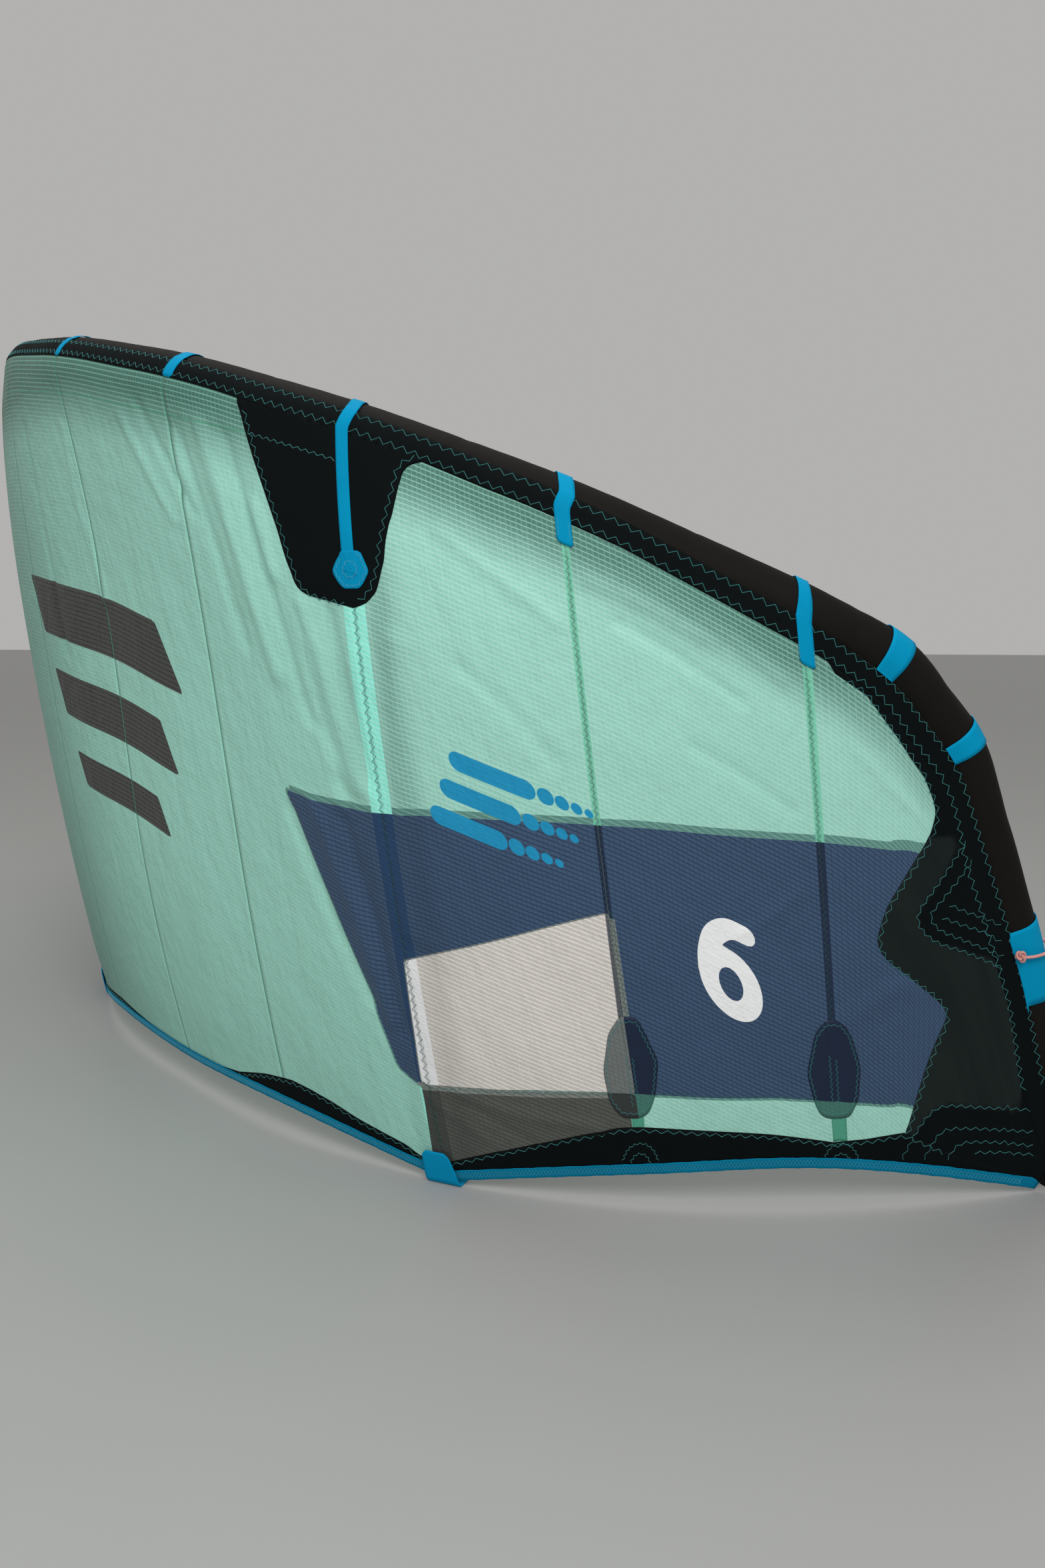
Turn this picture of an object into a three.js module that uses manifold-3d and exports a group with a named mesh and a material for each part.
// Inflatable kitesurfing kite of 6 square metres, standing on its strut ends and wing tips.
// Millimetres, +Z up. X runs along the span, the convex face of the arc looks to -Y,
// and the two halves mirror each other in the plane x = 0.
import * as THREE from 'three';
import Module from 'manifold-3d';

const wasm = await Module();
wasm.setup();

// Seams of the right half, centre to tip: trailing edge (te), centre of the inflated edge (le),
// its radius, the angle of its canopy seam in degrees, the outward belly and the S-shaped dip
// of the cloth behind it, and the height of the dark band along the trailing edge.
const SEAMS = [
  { name: 'centre', u: 0.00, te: [0, 0, 9], le: [0, -123, 1446], r: 58, seam: 61, belly: 44, dip: 0, band: 26 },
  { name: 'first', u: 1.00, te: [346, 49, 60], le: [342, -85, 1427], r: 58, seam: 60, belly: 28, dip: 4, band: 26 },
  { name: 'second', u: 2.00, te: [675, 184, 58], le: [672, 27, 1375], r: 57, seam: 59, belly: 2, dip: 15, band: 24 },
  { name: 'third', u: 3.00, te: [972, 350, 57], le: [967, 202, 1302], r: 55, seam: 55, belly: 2, dip: 6, band: 36 },
  { name: 'strut', u: 4.00, te: [1235, 583, 9], le: [1213, 442, 1203], r: 52, seam: 46, belly: 46, dip: 0, band: 20 },
  { name: 'fifth', u: 5.00, te: [1391, 866, 58], le: [1385, 718, 1090], r: 48, seam: 31, belly: 20, dip: 0, band: 52 },
  { name: 'sixth', u: 6.00, te: [1477, 1172, 70], le: [1485, 1046, 949], r: 45, seam: -8, belly: 12, dip: 0, band: 26 },
  { name: 'bend', u: 6.28, te: null, le: [1508, 1197, 879], r: 43, seam: -40, belly: 6, dip: 0, band: 34 },
  { name: 'drop', u: 6.52, te: null, le: [1513, 1321, 746], r: 41, seam: -44, belly: 3, dip: 0, band: 38 },
  { name: 'wrap', u: 6.80, te: null, le: [1507, 1459, 418], r: 37, seam: -43, belly: 0, dip: 0, band: 40 },
  { name: 'tape', u: 6.95, te: null, le: [1497, 1555, 106], r: 33, seam: -42, belly: 0, dip: 0, band: 40 },
  { name: 'tip', u: 7.00, te: [1512, 1533, 6], le: [1493, 1581, 0], r: 30, seam: -42, belly: 0, dip: 0, band: 40 },
];
const STRUT_U = 4;
const TIP_U = 7;
const LAST_U = 6.965;

const CLOTH = 1.4;
const DACRON = 1.2;
const PIECE_GAP = 0.3;
const LAYER_GAP = 0.6;
const WRAP_CLEAR = 1.35;
const BAND_WIDTH = 36;
// The dark bands take at most these shares of a short panel's height.
const FRONT_SHARE = 0.45;
const REAR_SHARE = 0.3;

// Moving averages round the inflated edge: half windows along the span and in the tip.
const ROUND_SPAN = 110;
const ROUND_TIP = 45;

// Height of the first layer of trim over the canopy, and of the straps that cross it.
const TRIM_LOW = CLOTH + LAYER_GAP;
const TRIM_HIGH = TRIM_LOW + DACRON;
const STRAP_LOW = TRIM_HIGH + LAYER_GAP;
const STRAP_HIGH = STRAP_LOW + DACRON;

// Folded hem: heights of its outer and inner leg, at most a share of the cloth, and its tape.
const HEM_OUTER = 17;
const HEM_INNER = 13;
const HEM_SHARE = 0.12;
const HEM_TAPE = 1.0;
const HEM_GAP = 0.5;

// Moves the base point from the centre seam's trailing edge to the middle of the outline's box.
const ORIGIN_Y = -711.97;

const BAY_CELLS = 3;
const TIP_CELLS = 8;
const TUBE_SIDES = 12;

const add = (a, b, k = 1) => [a[0] + b[0] * k, a[1] + b[1] * k, a[2] + b[2] * k];
const sub = (a, b) => [a[0] - b[0], a[1] - b[1], a[2] - b[2]];
const dot = (a, b) => a[0] * b[0] + a[1] * b[1] + a[2] * b[2];
const len = (a) => Math.hypot(a[0], a[1], a[2]);
const unit = (a) => a.map((v) => v / len(a));
const cross = (a, b) => [
  a[1] * b[2] - a[2] * b[1],
  a[2] * b[0] - a[0] * b[2],
  a[0] * b[1] - a[1] * b[0],
];
const mix = (a, b, t) => a + (b - a) * t;
const clamp = (v, lo, hi) => Math.min(Math.max(v, lo), hi);
const rad = (deg) => (deg * Math.PI) / 180;

// Piecewise cubic through the knots, with its own end slopes.
function cubic(knots, values, u) {
  const last = knots.length - 1;
  const slope = values.map((v, i) => (i > 0 && i < last
    ? (values[i + 1] - values[i - 1]) / (knots[i + 1] - knots[i - 1]) : 0));
  const chord = (i) => (values[i + 1] - values[i]) / (knots[i + 1] - knots[i]);
  slope[0] = 1.5 * chord(0) - 0.5 * slope[1];
  slope[last] = 1.5 * chord(last - 1) - 0.5 * slope[last - 1];
  let i = 0;
  while (i < last - 1 && u > knots[i + 1]) i += 1;
  const h = knots[i + 1] - knots[i];
  const t = (u - knots[i]) / h;
  return (2 * t ** 3 - 3 * t ** 2 + 1) * values[i] + (t ** 3 - 2 * t ** 2 + t) * h * slope[i]
    + (3 * t ** 2 - 2 * t ** 3) * values[i + 1] + (t ** 3 - t ** 2) * h * slope[i + 1];
}

// Trailing edge at u of the right half: two spans, from centre to strut and from strut to tip.
const EDGE_ROWS = SEAMS.filter((row) => row.te);
const INNER_ROWS = EDGE_ROWS.filter((row) => row.u <= STRUT_U);
const OUTER_ROWS = EDGE_ROWS.filter((row) => row.u >= STRUT_U);
function trailingEdge(u) {
  const rows = u <= STRUT_U ? INNER_ROWS : OUTER_ROWS;
  const knots = rows.map((row) => row.u);
  const at = (axis) => cubic(knots, rows.map((row) => row.te[axis]), u);
  const point = [at(0), at(1), at(2)];
  if (u <= 1) {
    // the cloth crosses the centre seam level, with no fold in plan
    const t = u * u;
    point[1] = mix(INNER_ROWS[0].te[1], INNER_ROWS[1].te[1], t);
  }
  return point;
}

// Inflated edge: the table's rows joined by straight lines and then averaged along its length.
const RUN = [0];
for (let i = 1; i < SEAMS.length; i += 1) RUN.push(RUN[i - 1] + len(sub(SEAMS[i].le, SEAMS[i - 1].le)));
const END = RUN[RUN.length - 1];
function rowAt(distance) {
  const s = Math.abs(distance);
  let i = 0;
  while (i < RUN.length - 2 && s > RUN[i + 1]) i += 1;
  const t = clamp((s - RUN[i]) / (RUN[i + 1] - RUN[i]), 0, 1);
  const a = SEAMS[i];
  const b = SEAMS[i + 1];
  const side = distance < 0 ? -1 : 1;
  return [
    mix(a.le[0], b.le[0], t) * side, mix(a.le[1], b.le[1], t), mix(a.le[2], b.le[2], t),
    mix(a.r, b.r, t), mix(a.seam, b.seam, t), mix(a.belly, b.belly, t), mix(a.dip, b.dip, t),
    mix(a.band, b.band, t),
  ];
}
function runOf(u) {
  let i = 0;
  while (i < SEAMS.length - 2 && u > SEAMS[i + 1].u) i += 1;
  return mix(RUN[i], RUN[i + 1], (u - SEAMS[i].u) / (SEAMS[i + 1].u - SEAMS[i].u));
}
function edgeRow(s) {
  const span = mix(ROUND_SPAN, ROUND_TIP, clamp((s - RUN[5]) / (RUN[6] - RUN[5]), 0, 1));
  const half = Math.min(span, END - s);
  const steps = 12;
  const sum = new Array(8).fill(0);
  for (let k = 0; k <= steps; k += 1) {
    const row = rowAt(s + half * ((2 * k) / steps - 1));
    const weight = (k === 0 || k === steps ? 0.5 : 1) / steps;
    row.forEach((v, i) => { sum[i] += v * weight; });
  }
  return sum;
}

// Outward belly of the chord, fullest a third of the way down, and its slope where it starts.
const BELLY_SLOPE = 7.8;
const bellyShape = (g) => (4 * g * (1 - g) + 5 * g * (1 - g) ** 4) / 1.15;

// Local frame of the right half at u: out of the cloth, along its chord and along the edge.
const frames = new Map();
function station(u) {
  const key = u.toFixed(6);
  if (frames.has(key)) return frames.get(key);
  const s = runOf(u);
  const row = edgeRow(s);
  const step = 2;
  const before = edgeRow(Math.max(s - step, 0));
  const after = edgeRow(Math.min(s + step, END));
  const along = unit(sub(after, before));
  if (u === 0) along[1] = 0;
  const centre = row.slice(0, 3);
  const edge = trailingEdge(u);
  const chord = sub(centre, edge);
  const shift = dot(chord, along);
  const rise = sub(chord, along.map((v) => v * shift));
  const up = unit(rise);
  const out = unit(cross(along, up));
  const wrap = row[3] + WRAP_CLEAR;
  const depth = Math.max(len(rise), wrap + 1);
  const steep = (row[5] * BELLY_SLOPE - row[6] * 2 * Math.PI) / depth;
  const tangent = Math.atan(steep) - Math.asin(wrap / depth);
  const seam = rad(row[4]);
  const leave = Math.min(tangent, seam);
  const touch = [wrap * Math.sin(leave), wrap * Math.cos(leave)];
  const flat = [touch[0] + depth, touch[1]];
  const flatLength = Math.hypot(flat[0], flat[1]);
  const frame = {
    centre, along, up, out, wrap, shift, seam, leave, depth, flatLength, radius: row[3],
    flat: [flat[0] / flatLength, flat[1] / flatLength], belly: row[5], dip: row[6], band: row[7],
    wrapLength: wrap * (seam - leave),
  };
  frame.slope = Math.hypot(flatLength, shift) / flatLength;
  frame.total = frame.wrapLength + flatLength * frame.slope;
  frames.set(key, frame);
  return frame;
}

// Point of the cloth's inner face at u, a distance m from the canopy seam towards the trailing edge.
// A negative m goes on round the inflated edge.
function basePoint(signedU, m) {
  const u = Math.abs(signedU);
  const f = station(u);
  let p;
  if (m <= f.wrapLength) {
    const angle = f.seam - m / f.wrap;
    p = add(f.centre, f.out, f.wrap * Math.cos(angle));
    p = add(p, f.up, f.wrap * Math.sin(angle));
  } else {
    const g = clamp((m - f.wrapLength) / (f.flatLength * f.slope), 0, 1.05);
    const rest = f.flatLength * (1 - g);
    const along = -f.shift * g;
    const belly = f.belly * bellyShape(Math.min(g, 1)) - f.dip * Math.sin(2 * Math.PI * g);
    p = add(f.centre, f.along, along);
    p = add(p, f.up, -f.depth + rest * f.flat[0] - belly * f.flat[1]);
    p = add(p, f.out, rest * f.flat[1] + belly * f.flat[0]);
  }
  return signedU < 0 ? [-p[0], p[1], p[2]] : p;
}

// The same point raised off the cloth's inner face.
function surface(u, m, height) {
  const du = 0.004;
  const dm = 1.5;
  const hi = Math.min(u + du, TIP_U - du);
  const lo = Math.max(u - du, du - TIP_U);
  const a = sub(basePoint(hi, m), basePoint(lo, m));
  const b = sub(basePoint(u, m + dm), basePoint(u, m - dm));
  const normal = unit(cross(b, a));
  const p = basePoint(u, m);
  return add(p, normal, height);
}
const total = (u) => station(Math.abs(u)).total;

// Distance from the canopy seam to the lower edge of the front band, whose width is square to it.
function bandFoot(u) {
  const f = station(Math.abs(u));
  const wide = f.wrapLength + Math.max(BAND_WIDTH - f.wrapLength, 0) * f.slope;
  return Math.min(BAND_WIDTH > f.wrapLength ? wide : BAND_WIDTH, FRONT_SHARE * f.total);
}

// Distances m of the cloth's cross rows at u, closest where it bends most.
const UPPER_ROWS = [16, 38, 85, 165, 275];
const LOWER_ROW = { up: 60, share: 0.28 };
const FOLD_ROW = { up: 18, share: 0.13 };
function clothRows(u) {
  const all = total(u);
  const foot = bandFoot(u);
  const scale = Math.min(1, (0.5 * (all - foot)) / UPPER_ROWS[UPPER_ROWS.length - 1]);
  const front = [0, 0.5 * foot, foot];
  const upper = UPPER_ROWS.map((down) => foot + down * scale);
  const up = (row) => all - Math.min(row.up, row.share * all);
  const rear = [up(LOWER_ROW), up(FOLD_ROW), all];
  const lower = mix(upper[upper.length - 1], rear[0], 0.5);
  return [...front, ...upper, lower, ...rear];
}

// Closed body between two point grids of the same size, low below high.
function slab(low, high) {
  const rows = low.length;
  const cols = low[0].length;
  const points = [...high.flat(), ...low.flat()];
  const top = (i, j) => i * cols + j;
  const base = (i, j) => rows * cols + i * cols + j;
  const faces = [];
  const quad = (a, b, c, d) => faces.push([a, b, c], [a, c, d]);
  for (let i = 0; i < rows - 1; i += 1) {
    for (let j = 0; j < cols - 1; j += 1) {
      quad(top(i, j), top(i + 1, j), top(i + 1, j + 1), top(i, j + 1));
      quad(base(i, j), base(i, j + 1), base(i + 1, j + 1), base(i + 1, j));
    }
  }
  for (let i = 0; i < rows - 1; i += 1) {
    quad(base(i, 0), base(i + 1, 0), top(i + 1, 0), top(i, 0));
    quad(top(i, cols - 1), top(i + 1, cols - 1), base(i + 1, cols - 1), base(i, cols - 1));
  }
  for (let j = 0; j < cols - 1; j += 1) {
    quad(top(0, j), top(0, j + 1), base(0, j + 1), base(0, j));
    quad(base(rows - 1, j), base(rows - 1, j + 1), top(rows - 1, j + 1), top(rows - 1, j));
  }
  return { points, faces };
}

// Closed body from rings of points, its two ends filled.
function rings(list) {
  const sides = list[0].length;
  const points = list.flat();
  const faces = [];
  for (let i = 0; i < list.length - 1; i += 1) {
    for (let j = 0; j < sides; j += 1) {
      const k = (j + 1) % sides;
      const a = i * sides;
      const b = a + sides;
      faces.push([a + j, a + k, b + k], [a + j, b + k, b + j]);
    }
  }
  const endBase = (list.length - 1) * sides;
  for (let j = 1; j < sides - 1; j += 1) {
    faces.push([0, j + 1, j], [endBase, endBase + j, endBase + j + 1]);
  }
  return { points, faces };
}

const volume = (body) => body.faces.reduce((sum, f) => (
  sum + dot(body.points[f[0]], cross(body.points[f[1]], body.points[f[2]]))), 0);
const outward = (body) => (volume(body) < 0
  ? { points: body.points, faces: body.faces.map((f) => [f[0], f[2], f[1]]) } : body);
const range = (n, f) => Array.from({ length: n + 1 }, (_, i) => f(i / n, i));

// Sheet over a patch of the canopy: u and m at each node of its grid, and its two heights.
function sheet(cols, rows, place, low, high) {
  const grid = (height) => range(rows, (v, i) => range(cols, (w, j) => {
    const [u, m] = place(w, v, j, i);
    return surface(u, m, typeof height === 'function' ? height(u, m) : height);
  }));
  return outward(slab(grid(low), grid(high)));
}

// Stops along the span, the same for every long piece so that their facets lie parallel.
const STOPS = [];
for (let bay = 0; bay < TIP_U; bay += 1) {
  const cells = bay === TIP_U - 1 ? TIP_CELLS : BAY_CELLS;
  const width = bay === TIP_U - 1 ? LAST_U - bay : 1;
  for (let k = 0; k < cells; k += 1) STOPS.push(bay + (width * k) / cells);
}
STOPS.push(LAST_U);
const stopsBetween = (from, to) => {
  const inside = STOPS.filter((u) => u > from + 0.01 && u < to - 0.01);
  return [from, ...inside, to];
};
// Point over the cloth's facets at u and a row number, which may fall between two rows.
function over(signedU, row, height) {
  const u = clamp(Math.abs(signedU), 0, LAST_U - 0.0001);
  const side = signedU < 0 ? -1 : 1;
  const j = STOPS.findIndex((stop) => stop > u) - 1;
  const t = (u - STOPS[j]) / (STOPS[j + 1] - STOPS[j]);
  const corner = (stop, i) => surface(stop * side, clothRows(stop)[i], height);
  const i = Math.floor(row);
  const at = (k) => {
    const a = corner(STOPS[j], k);
    return t < 0.0001 ? a : add(a, sub(corner(STOPS[j + 1], k), a), t);
  };
  const upper = at(i);
  return row - i < 0.0001 ? upper : add(upper, sub(at(i + 1), upper), row - i);
}
// Row number of the distance m at u.
function rowOf(u, m) {
  const rows = clothRows(Math.abs(u));
  const i = clamp(rows.findIndex((v) => v > m) - 1, 0, rows.length - 2);
  return i + (m - rows[i]) / (rows[i + 1] - rows[i]);
}
// Half of the gap between two pieces, as a part of a bay of the seam's own width.
const BAY_WIDTH = 345;
const HALF_GAP = PIECE_GAP / 2 / BAY_WIDTH;

const group = new THREE.Group();
group.name = 'kitesurfing_kite';
const FINISH = {
  tube: { color: 0x1d1d1f, roughness: 0.7 },
  mint: { color: 0x8fcdb5, roughness: 0.55 },
  black: { color: 0x111517, roughness: 0.75 },
  blue: { color: 0x1596c4, roughness: 0.7 },
  hem: { color: 0x0c7fa8, roughness: 0.7 },
  strut: { color: 0x9fd6c2, roughness: 0.6 },
  cord: { color: 0xe98f8c, roughness: 0.8 },
};
function put(name, finish, body) {
  const geometry = new THREE.BufferGeometry();
  const flatPoints = body.points.map((p) => [p[0], p[1] + ORIGIN_Y, p[2]]);
  geometry.setAttribute('position', new THREE.Float32BufferAttribute(flatPoints.flat(), 3));
  geometry.setIndex(body.faces.flat());
  geometry.computeVertexNormals();
  const look = FINISH[finish];
  const material = new THREE.MeshStandardMaterial({ ...look, metalness: 0 });
  material.name = finish;
  const mesh = new THREE.Mesh(geometry, material);
  mesh.name = name;
  group.add(mesh);
}

// Ring of the inflated edge at u; the two ends are cut level with the floor.
function tubeRing(u, extra, level) {
  const side = u < 0 ? -1 : 1;
  const f = station(Math.abs(u));
  return range(TUBE_SIDES - 1, (_, k) => {
    const angle = (2 * Math.PI * k) / TUBE_SIDES;
    let p = add(f.centre, f.out, (f.radius + extra) * Math.cos(angle));
    p = add(p, f.up, (f.radius + extra) * Math.sin(angle));
    if (level) {
      p = add(p, f.along, -p[2] / f.along[2]);
      p[2] = 0;
    }
    return [p[0] * side, p[1], p[2]];
  });
}
function inflatedEdge(extra) {
  const right = STOPS.slice(1).concat([6.985]);
  const left = right.map((u) => -u).reverse();
  const list = [
    tubeRing(-TIP_U, extra, true),
    ...left.map((u) => tubeRing(u, extra, false)),
    tubeRing(0, extra, false),
    ...right.map((u) => tubeRing(u, extra, false)),
    tubeRing(TIP_U, extra, true),
  ];
  return outward(rings(list));
}

function toManifold(body) {
  return new wasm.Manifold(new wasm.Mesh({
    numProp: 3,
    vertProperties: new Float32Array(body.points.flat()),
    triVerts: new Uint32Array(body.faces.flat()),
  }));
}
function fromManifold(solid) {
  const mesh = solid.getMesh();
  const points = [];
  for (let i = 0; i < mesh.vertProperties.length; i += mesh.numProp) {
    points.push([mesh.vertProperties[i], mesh.vertProperties[i + 1], mesh.vertProperties[i + 2]]);
  }
  const faces = [];
  for (let i = 0; i < mesh.triVerts.length; i += 3) {
    faces.push([mesh.triVerts[i], mesh.triVerts[i + 1], mesh.triVerts[i + 2]]);
  }
  return { points, faces };
}

put('leading_edge', 'tube', inflatedEdge(0));

// Canopy: one panel between each pair of seams, from under the dark band to the trailing edge.
for (const side of [1, -1]) {
  for (let bay = 0; bay < TIP_U; bay += 1) {
    const to = bay === TIP_U - 1 ? LAST_U : bay + 1 - HALF_GAP;
    const stops = stopsBetween(bay + HALF_GAP, to);
    const body = sheet(stops.length - 1, clothRows(0).length - 1, (w, v, j, i) => (
      [stops[j] * side, clothRows(stops[j])[i]]), 0, CLOTH);
    put(`canopy_${side > 0 ? 'right' : 'left'}_${bay + 1}`, 'mint', body);
  }
}

// Dark band over the canopy's front edge, one length for each half.
const BAND_ROWS = 2;
const BAND_END = 6.93;
for (const side of [1, -1]) {
  const stops = stopsBetween(HALF_GAP, BAND_END);
  const body = sheet(stops.length - 1, BAND_ROWS, (w, v, j, i) => (
    [stops[j] * side, clothRows(stops[j])[i]]), TRIM_LOW, TRIM_HIGH);
  put(`front_band_${side > 0 ? 'right' : 'left'}`, 'black', body);
}

// Dark band along the trailing edge, with a scalloped upper edge that is lowest at the struts.
const BAND_FOOT = 0.5;
const bandHeight = (u) => Math.min(station(Math.abs(u)).band, REAR_SHARE * total(u));
for (const side of [1, -1]) {
  const stops = stopsBetween(HALF_GAP, LAST_U);
  const body = sheet(stops.length - 1, 2, (w, v, j, i) => {
    const u = stops[j];
    const rows = clothRows(u);
    return [u * side, [total(u) - bandHeight(u), rows[rows.length - 2], total(u) - BAND_FOOT][i]];
  }, TRIM_LOW, TRIM_HIGH);
  put(`rear_band_${side > 0 ? 'right' : 'left'}`, 'black', body);
}

// Blue hem tape folded round the trailing edge: one leg outside the dark band, one inside.
for (const side of [1, -1]) {
  const stops = stopsBetween(HALF_GAP, LAST_U);
  const list = stops.map((u) => {
    const end = total(u);
    const outer = TRIM_HIGH + HEM_GAP;
    const inner = -HEM_GAP;
    const fold = end + HEM_GAP;
    const outerEdge = end - Math.min(HEM_OUTER, HEM_SHARE * end);
    const innerEdge = end - Math.min(HEM_INNER, HEM_SHARE * end);
    const profile = [
      [outerEdge, outer], [outerEdge, outer + HEM_TAPE],
      [fold + HEM_TAPE, outer + HEM_TAPE], [fold + HEM_TAPE, inner - HEM_TAPE],
      [innerEdge, inner - HEM_TAPE], [innerEdge, inner],
      [fold, inner], [fold, outer],
    ];
    const foot = surface(u * side, end - 2, 0);
    const above = surface(u * side, end - 12, 0);
    const down = unit(sub(foot, above));
    const normal = unit(sub(surface(u * side, end - 2, 10), foot));
    return profile.map(([m, h]) => add(add(foot, down, m - (end - 2)), normal, h));
  });
  put(`hem_${side > 0 ? 'right' : 'left'}`, 'hem', hemBody(list));
}
// The profile is a U, so its ends are filled leg by leg.
function hemBody(list) {
  const sides = 8;
  const points = list.flat();
  const faces = [];
  for (let i = 0; i < list.length - 1; i += 1) {
    for (let j = 0; j < sides; j += 1) {
      const k = (j + 1) % sides;
      faces.push([i * sides + j, i * sides + k, (i + 1) * sides + k]);
      faces.push([i * sides + j, (i + 1) * sides + k, (i + 1) * sides + j]);
    }
  }
  const last = (list.length - 1) * sides;
  const legs = [[0, 1, 2], [0, 2, 7], [7, 2, 3], [7, 3, 6], [6, 3, 4], [6, 4, 5]];
  legs.forEach(([a, b, c]) => {
    faces.push([a, c, b]);
    faces.push([last + a, last + b, last + c]);
  });
  return outward({ points, faces });
}

// Inflated struts on the hollow side, tapering to the trailing edge, saddled to the front tube.
const STRUT_SIDES = 12;
const STRUT_GAP = 0.5;
const STRUT_FRONT = 37;
const STRUT_REAR = 21;
const STRUT_STOP = 16;
const CLEAR_FRONT = 40;
const CLEAR_REAR = 30;
const frontTube = toManifold(inflatedEdge(PIECE_GAP));
function strut(u) {
  const end = total(u) - STRUT_STOP;
  const start = station(Math.abs(u)).wrap * station(Math.abs(u)).seam;
  const rows = clothRows(u).filter((m) => m > start + CLEAR_FRONT && m < end - CLEAR_REAR);
  const list = [start, ...rows, end].map((m) => {
    const radius = mix(STRUT_FRONT, STRUT_REAR, (m - start) / (end - start));
    const top = surface(u, m, -STRUT_GAP);
    const inward = unit(sub(surface(u, m, -10), surface(u, m, 0)));
    const ahead = unit(sub(surface(u, m + 2, 0), surface(u, m - 2, 0)));
    const across = unit(cross(ahead, inward));
    const middle = add(top, inward, radius);
    return range(STRUT_SIDES - 1, (_, k) => {
      const angle = (2 * Math.PI * k) / STRUT_SIDES;
      return add(add(middle, inward, -radius * Math.cos(angle)), across, radius * Math.sin(angle));
    });
  });
  return fromManifold(toManifold(outward(rings(list))).subtract(frontTube));
}
const STRUT_PLACES = [['centre', 0], ['right', STRUT_U], ['left', -STRUT_U]];
STRUT_PLACES.forEach(([place, u]) => put(`strut_${place}`, 'strut', strut(u)));

// Dark reinforcement over each strut's front, a V with a rounded foot. Each row of its outline
// has a half width and a depth below the front band, inboard and outboard of the strut.
const PANEL = [
  { inboard: 214, inDown: -6, outboard: 138, outDown: -6 },
  { inboard: 209, inDown: 14, outboard: 122, outDown: 12 },
  { inboard: 196, inDown: 62, outboard: 96, outDown: 34 },
  { inboard: 178, inDown: 110, outboard: 84, outDown: 70 },
  { inboard: 164, inDown: 160, outboard: 72, outDown: 112 },
  { inboard: 154, inDown: 215, outboard: 58, outDown: 160 },
  { inboard: 146, inDown: 245, outboard: 49, outDown: 205 },
  { inboard: 128, inDown: 278, outboard: 34, outDown: 248 },
  { inboard: 100, inDown: 289, outboard: 14, outDown: 275 },
  { inboard: 50, inDown: 292, outboard: -8, outDown: 285 },
];
// Part of a layer of trim inside a closed outline: the layer keeps the cloth's own facets.
const CUT_BELOW = -9;
const CUT_ABOVE = 14;
function cutLayer(stops, rows, cutter) {
  const layer = sheet(stops.length - 1, rows.length - 1, (w, v, j, i) => [stops[j], rows[i](stops[j])],
    TRIM_LOW, TRIM_HIGH);
  return fromManifold(toManifold(layer).intersect(toManifold(cutter)));
}
const FOOT_ROW = 2;
const flip = (body) => outward({ points: body.points.map((p) => [-p[0], p[1], p[2]]), faces: body.faces });
function reinforcement(u) {
  const even = (row) => ({
    inboard: (row.inboard + row.outboard) / 2, inDown: row.inDown,
    outboard: (row.inboard + row.outboard) / 2, outDown: row.inDown,
  });
  const cutter = sheet(4, PANEL.length - 1, (w, v, j, i) => {
    const row = u === 0 ? even(PANEL[i]) : PANEL[i];
    const spot = u + mix(-row.inboard, row.outboard, w) / BAY_WIDTH;
    return [spot, bandFoot(spot) + mix(row.inDown, row.outDown, w)];
  }, CUT_BELOW, CUT_ABOVE);
  const far = (2 * PANEL[0].inboard) / BAY_WIDTH;
  const stops = [...STOPS.map((stop) => -stop).reverse(), ...STOPS.slice(1)]
    .filter((stop) => Math.abs(stop - u) < far);
  const rows = [(spot) => bandFoot(spot) + PIECE_GAP];
  for (let i = FOOT_ROW + 1; i < FOOT_ROW + 6; i += 1) rows.push((spot) => clothRows(spot)[i]);
  return cutLayer(stops, rows, cutter);
}
STRUT_PLACES.forEach(([place, u]) => {
  const body = reinforcement(Math.abs(u));
  put(`strut_panel_${place}`, 'black', u < 0 ? flip(body) : body);
});

// Straps over the inflated edge. Each starts on the cloth a distance m from the canopy seam
// and runs round the tube to an angle past its top; lean is its sideways drift in bays.
const STRAPS = [
  { name: 'strap_second', u: 2.0, width: 17, from: 36, to: 175, lean: -0.09 },
  { name: 'strap_third', u: 3.02, width: 22, from: 36, to: 175, lean: -0.05 },
  { name: 'strap_fifth', u: 5.0, width: 25, from: 72, to: 170, lean: -0.07 },
  { name: 'strap_sixth', u: 6.0, width: 25, from: 68, to: 170, lean: -0.04 },
  { name: 'strap_bend', u: 6.257, width: 36, from: 2, to: 170, lean: 0 },
  { name: 'strap_drop', u: 6.500, width: 34, from: 2, to: 170, lean: 0 },
  { name: 'tip_wrap', u: 6.798, width: 128, from: 2, to: 170, lean: 0 },
  { name: 'tip_tape', u: 6.945, width: 80, from: 2, to: 150, lean: 0 },
];
const ON_TUBE = 0.3;
// Span of u that covers a width in millimetres at the inflated edge.
function spanOf(u, width) {
  const step = 0.01;
  const size = runOf(Math.min(u + step, TIP_U)) - runOf(u - step);
  return (width * 2 * step) / size;
}
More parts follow.
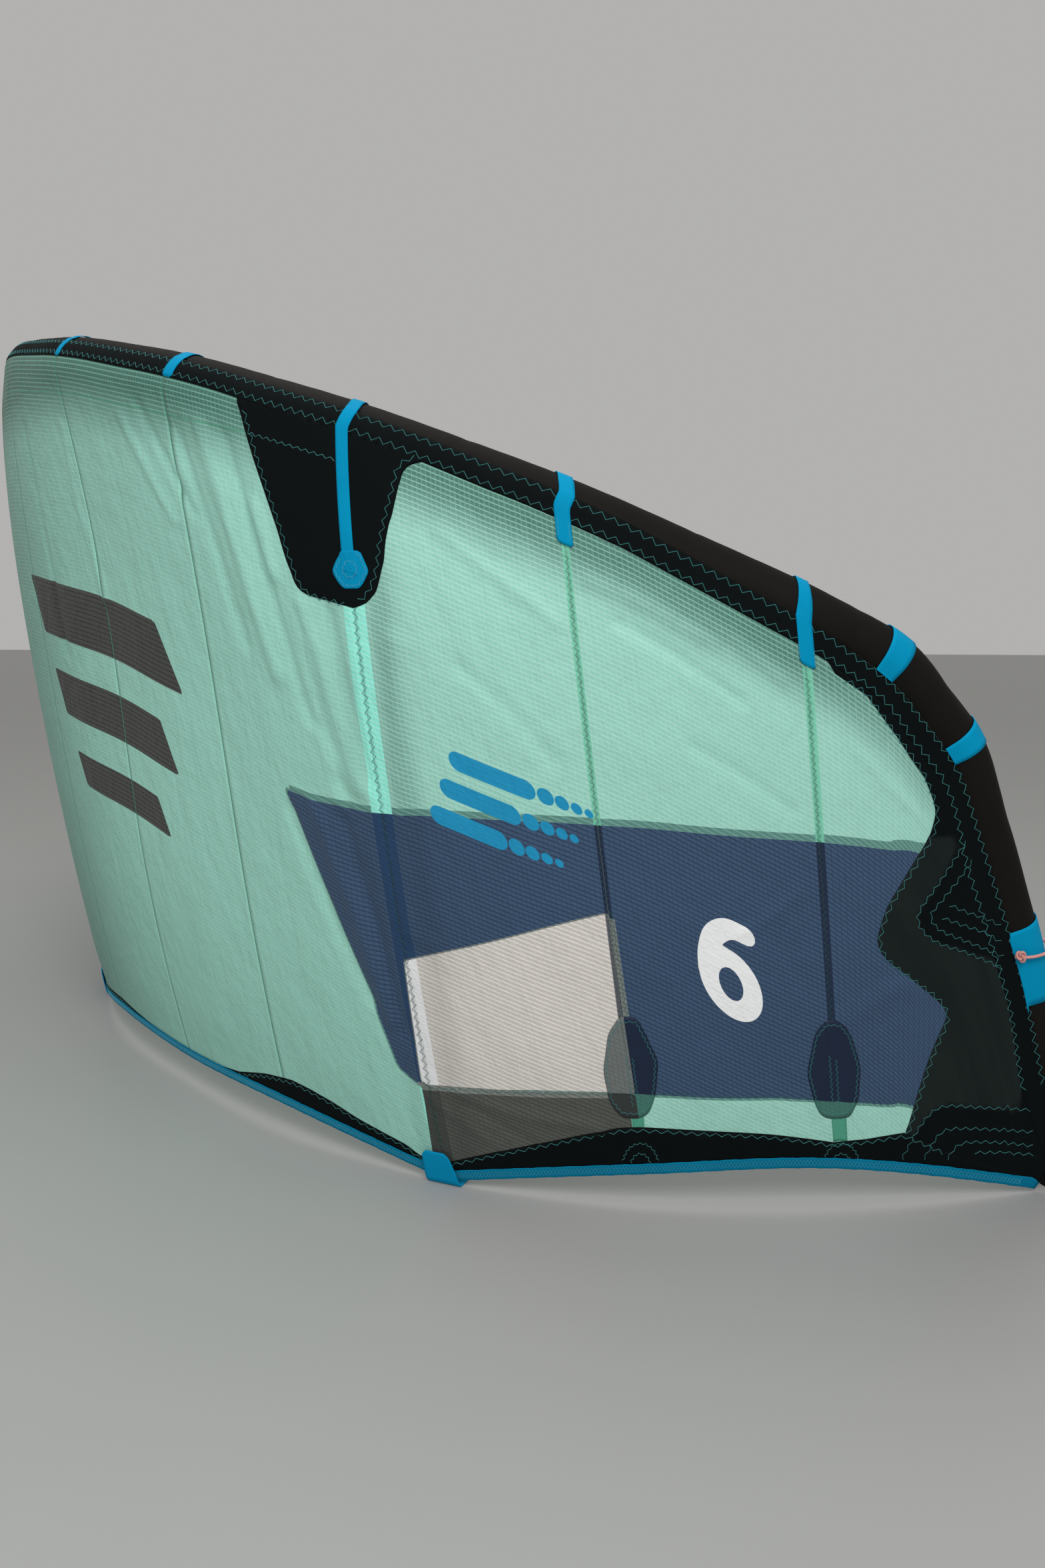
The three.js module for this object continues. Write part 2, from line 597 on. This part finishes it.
// Strap of a half width in bays, from a distance m on the cloth to an angle round the tube.
const STRAP_STEP = 18;
const STRAP_DROP = -12;
const LEAN_RUN = 60;
function strap(u, side, half, from, to, lean) {
  const f = station(Math.abs(u));
  const end = -f.wrap * (rad(to) - f.seam);
  const first = rowOf(u, from);
  const flat = [first, ...range(Math.ceil(first) - 1, (_, i) => i).reverse()];
  const round = range(Math.ceil((STRAP_DROP - end) / (f.wrap * rad(STRAP_STEP))),
    (t) => mix(STRAP_DROP, end, t));
  const grid = (height) => [...flat, ...round].map((value, i) => [-1, 0, 1].map((k) => {
    const onCloth = i < flat.length;
    const m = onCloth ? from * (1 - i / flat.length) : value;
    const spot = (u + half * k + lean * clamp(-m / LEAN_RUN, 0, 1)) * side;
    return onCloth ? over(spot, value, STRAP_LOW + height) : surface(spot, value, ON_TUBE + height);
  }));
  return outward(slab(grid(0), grid(DACRON)));
}
for (const side of [1, -1]) {
  const word = side > 0 ? 'right' : 'left';
  STRAPS.forEach((row) => put(`${row.name}_${word}`, 'blue',
    strap(row.u, side, spanOf(row.u, row.width) / 2, row.from, row.to, row.lean)));
}

// The strut's own strap runs down the reinforcement to a six-sided patch.
const STRUT_STRAP = { width: 20, down: 204, to: 175, lean: -0.05 };
const PATCH = { centre: 236, half: 30, flat: 15, reach: 27 };
STRUT_PLACES.forEach(([place, u]) => {
  const half = STRUT_STRAP.width / 2 / BAY_WIDTH;
  const body = strap(Math.abs(u), u < 0 ? -1 : 1, half, STRUT_STRAP.down, STRUT_STRAP.to,
    u === 0 ? 0 : STRUT_STRAP.lean);
  put(`strut_strap_${place}`, 'blue', body);
  const across = [[-PATCH.half, PATCH.flat], [0, PATCH.reach], [PATCH.half, PATCH.flat]];
  const patch = sheet(2, 2, (w, v, j, i) => [
    u + (across[i][1] * mix(-1, 1, w)) / BAY_WIDTH, PATCH.centre + across[i][0]], STRAP_LOW, STRAP_HIGH);
  put(`strap_patch_${place}`, 'blue', patch);
});

// Dark wing tip panel: its inner edge swings in and out between the band and the hem.
const TIP_EDGE = [
  { part: 0.000, u: 6.160 },
  { part: 0.042, u: 6.200 },
  { part: 0.084, u: 6.235 },
  { part: 0.117, u: 6.381 },
  { part: 0.165, u: 6.436 },
  { part: 0.203, u: 6.426 },
  { part: 0.294, u: 6.370 },
  { part: 0.383, u: 6.301 },
  { part: 0.445, u: 6.243 },
  { part: 0.515, u: 6.203 },
  { part: 0.552, u: 6.240 },
  { part: 0.569, u: 6.454 },
  { part: 0.594, u: 6.499 },
  { part: 0.622, u: 6.487 },
  { part: 0.710, u: 6.429 },
  { part: 0.815, u: 6.371 },
  { part: 0.909, u: 6.316 },
  { part: 1.000, u: 6.280 },
];
const PANEL_START = 6.05;
function tipPanel() {
  const cutter = sheet(6, TIP_EDGE.length - 1, (w, v, j, i) => {
    const u = mix(TIP_EDGE[i].u, TIP_U - 0.01, w);
    return [u, total(u) * TIP_EDGE[i].part];
  }, CUT_BELOW, CUT_ABOVE);
  const rows = [(u) => bandFoot(u) + PIECE_GAP];
  for (let i = FOOT_ROW + 1; i < clothRows(0).length - 3; i += 1) rows.push((u) => clothRows(u)[i]);
  rows.push((u) => total(u) - bandHeight(u) - PIECE_GAP);
  return cutLayer(stopsBetween(PANEL_START, BAND_END), rows, cutter);
}
put('tip_panel_right', 'black', tipPanel());
put('tip_panel_left', 'black', flip(tipPanel()));

// Strut ends: a cap sewn over the hem, turned under the strut as a flat foot on the floor.
const CAP = { width: 56, narrow: 26, height: 52, foot: 46, sheet: 2.2, gap: 0.25 };
STRUT_PLACES.forEach(([place, u]) => {
  const end = total(u);
  const foot = surface(u, end, 0);
  const above = surface(u, end - CAP.height, 0);
  const out = sub(surface(u, end - 10, 10), surface(u, end - 10, 0));
  const level = unit([out[0], out[1], 0]);
  const across = [-level[1], level[0], 0];
  const rise = unit(sub(above, foot));
  const stand = TRIM_HIGH + CAP.gap;
  const base = [foot[0], foot[1], 0];
  const leg = (away, high) => {
    const p = add(base, level, away);
    return add(p, [rise[0], rise[1], rise[2]], high / rise[2]);
  };
  const outer = stand + CAP.sheet;
  const profile = [
    add(base, level, -CAP.foot), add(base, level, outer), leg(outer, CAP.height),
    leg(stand, CAP.height), leg(stand, CAP.sheet), add(add(base, level, -CAP.foot), [0, 0, 1], CAP.sheet),
  ];
  const ring = (k) => profile.map((p, i) => {
    const width = (i === 2 || i === 3 ? CAP.width - CAP.narrow : CAP.width) / 2;
    return add(p, across, k * width);
  });
  const a = ring(-1);
  const b = ring(1);
  const sides = profile.length;
  const faces = [];
  for (let j = 0; j < sides; j += 1) {
    const k = (j + 1) % sides;
    faces.push([j, k, sides + k], [j, sides + k, sides + j]);
  }
  const legs = [[0, 1, 4], [0, 4, 5], [1, 2, 3], [1, 3, 4]];
  legs.forEach(([p, q, r]) => {
    faces.push([p, r, q]);
    faces.push([sides + p, sides + q, sides + r]);
  });
  put(`strut_cap_${place}`, 'blue', outward({ points: [...a, ...b], faces }));
});

// Cords of the right and left tips: a loop tied round the wrap, and a pigtail below the tape.
const CORD = 5;
const CORD_STEPS = 14;
const CORD_SIDES = 8;
const LOOP = { u: 6.79, sway: 0.012, from: -45, turn: 200 };
const TAIL = { fromU: 6.93, toU: 6.992, at: -12, sway: 14 };
function cordTube(route) {
  const curve = new THREE.CatmullRomCurve3(route.map((p) => new THREE.Vector3(...p)), false);
  const shape = new THREE.Shape();
  range(CORD_SIDES - 1, (_, k) => {
    const a = (2 * Math.PI * k) / CORD_SIDES;
    const x = (CORD / 2) * Math.cos(a);
    const y = (CORD / 2) * Math.sin(a);
    return k === 0 ? shape.moveTo(x, y) : shape.lineTo(x, y);
  });
  const settings = { extrudePath: curve, steps: CORD_STEPS, bevelEnabled: false, curveSegments: 1 };
  return new THREE.ExtrudeGeometry(shape, settings);
}
function onTube(u, degrees, height) {
  const f = station(u);
  const reach = f.radius + height;
  const p = add(f.centre, f.out, reach * Math.cos(rad(degrees)));
  return add(p, f.up, reach * Math.sin(rad(degrees)));
}
function weld(geometry) {
  const source = geometry.getAttribute('position');
  const points = [];
  const seen = new Map();
  const index = [];
  for (let i = 0; i < source.count; i += 1) {
    const p = [source.getX(i), source.getY(i), source.getZ(i)];
    const key = p.map((v) => v.toFixed(4)).join(' ');
    if (!seen.has(key)) {
      seen.set(key, points.length);
      points.push(p);
    }
    index.push(seen.get(key));
  }
  const faces = [];
  for (let i = 0; i < index.length; i += 3) {
    const [a, b, c] = index.slice(i, i + 3);
    if (a !== b && b !== c && a !== c) faces.push([a, b, c]);
  }
  return outward({ points, faces });
}
const OVER_WRAP = WRAP_CLEAR + STRAP_HIGH + CORD / 2 + 3 * LAYER_GAP;
const OVER_TAPE = WRAP_CLEAR + ON_TUBE + DACRON + CORD / 2 + LAYER_GAP;
for (const side of [1, -1]) {
  const word = side > 0 ? 'right' : 'left';
  const mirror = (p) => [p[0] * side, p[1], p[2]];
  const loop = range(11, (t) => mirror(onTube(
    LOOP.u + LOOP.sway * Math.sin(3.1 * t), LOOP.from + LOOP.turn * t, OVER_WRAP,
  )));
  put(`tip_loop_${word}`, 'cord', weld(cordTube(loop)));
  const tail = range(8, (t) => mirror(onTube(
    mix(TAIL.fromU, TAIL.toU, t), TAIL.at + TAIL.sway * Math.sin(5 * t), OVER_TAPE,
  )));
  put(`tip_pigtail_${word}`, 'cord', weld(cordTube(tail)));
}

export default group;
